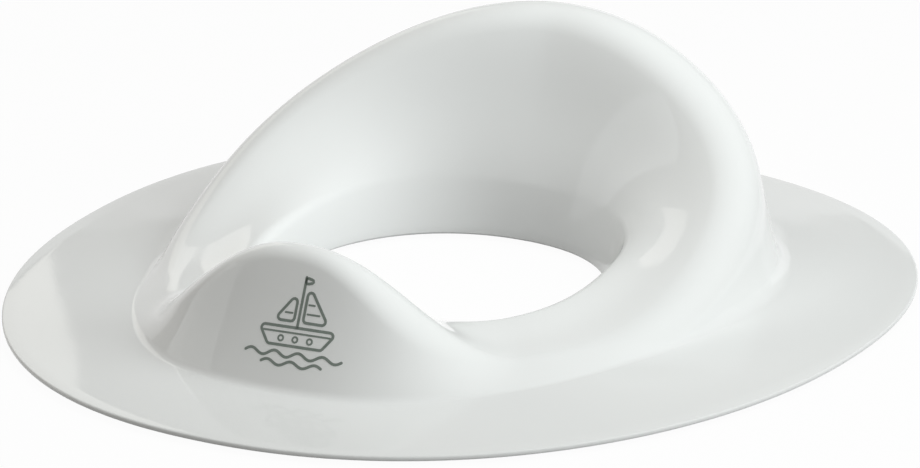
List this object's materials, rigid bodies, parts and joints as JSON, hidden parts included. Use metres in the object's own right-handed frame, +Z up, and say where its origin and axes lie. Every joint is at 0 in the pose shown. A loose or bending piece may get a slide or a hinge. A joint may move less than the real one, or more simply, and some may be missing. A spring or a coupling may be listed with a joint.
{
  "type": "toilet seat reducer",
  "caption": "Child's toilet seat reducer: a moulded shell with a raised back hood, front splash guard, oval opening and flat flange on rubber grips.",
  "frame": {"origin": "middle of the flange's outline in plan, on the plane of the rubber grips' soles, which is the top of the toilet seat or the table that it stands on", "axes": "+Z up; +Y towards the hood at the child's back; -Y towards the splash guard; +X to the right for someone who looks at the splash guard from in front"},
  "size_m": [0.347, 0.38, 0.0934],
  "materials": {
    "shell": "smooth glossy white moulding",
    "grip": "matt grey rubber"
  },
  "bodies": {
    "root": {"seat_shell": "shell", "grip_front_left": "grip", "grip_front_right": "grip", "grip_back_left": "grip", "grip_back_right": "grip"}
  },
  "joints": []
}
